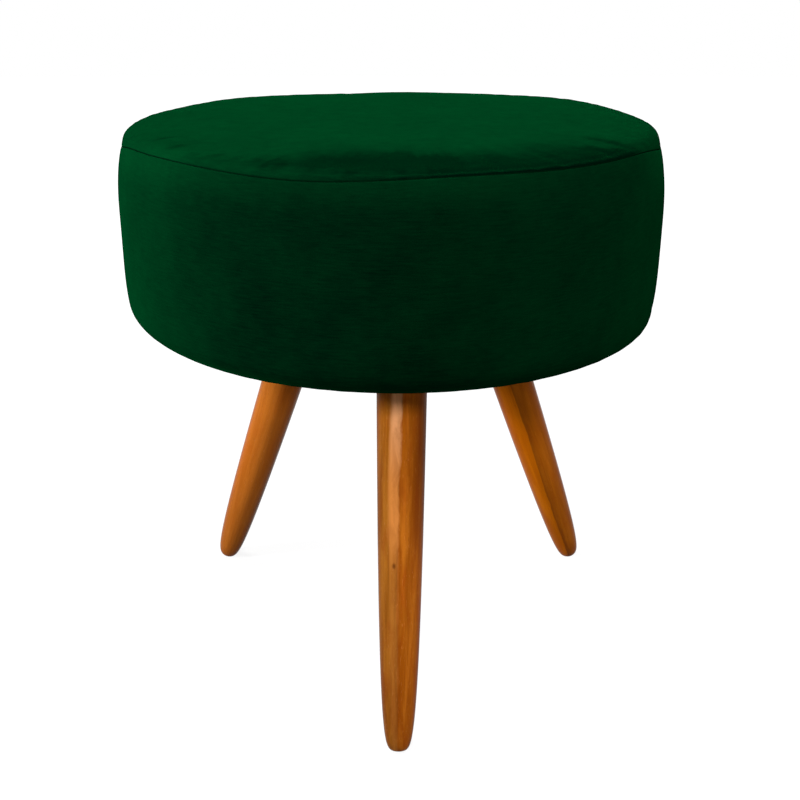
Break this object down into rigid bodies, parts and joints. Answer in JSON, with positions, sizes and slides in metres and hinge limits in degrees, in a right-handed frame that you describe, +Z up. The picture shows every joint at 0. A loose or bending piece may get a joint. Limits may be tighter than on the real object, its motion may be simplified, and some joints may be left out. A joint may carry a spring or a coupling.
{
  "type": "upholstered stool",
  "caption": "Low round stool: a velvet upholstered drum with a crowned seat on splayed, turned wooden legs.",
  "frame": {"origin": "on the floor, under the middle of the round drum", "axes": "+Z up; -Y towards the front leg, which faces the camera in the picture; +X to the right as seen from there"},
  "size_m": [0.3999, 0.4, 0.4218],
  "materials": {
    "velvet": "matte",
    "foam": "matte",
    "hardboard": "matte",
    "plywood": "matte",
    "softwood": "matte",
    "lacquered_wood": "gloss",
    "nonwoven": "matte",
    "zinc_steel": "satin",
    "yellow_steel": "satin",
    "staple_wire": "satin"
  },
  "bodies": {
    "root": {"top_cover": "velvet", "side_band": "velvet", "top_foam": "foam", "side_foam": "foam", "wall_panel": "hardboard", "seat_board": "plywood", "base_board": "plywood", "post_1": "softwood", "post_2": "softwood", "post_3": "softwood", "post_4": "softwood", "post_5": "softwood", "post_6": "softwood", "frame_screws": "yellow_steel", "wall_staples": "staple_wire", "hem_staples": "staple_wire", "dust_cover": "nonwoven", "dust_staples": "staple_wire", "leg_plate_front": "zinc_steel", "leg_plate_right": "zinc_steel", "leg_plate_left": "zinc_steel", "plate_nuts": "zinc_steel", "plate_screws": "zinc_steel", "hanger_bolts": "yellow_steel", "leg_front": "lacquered_wood", "leg_right": "lacquered_wood", "leg_left": "lacquered_wood"}
  },
  "joints": []
}
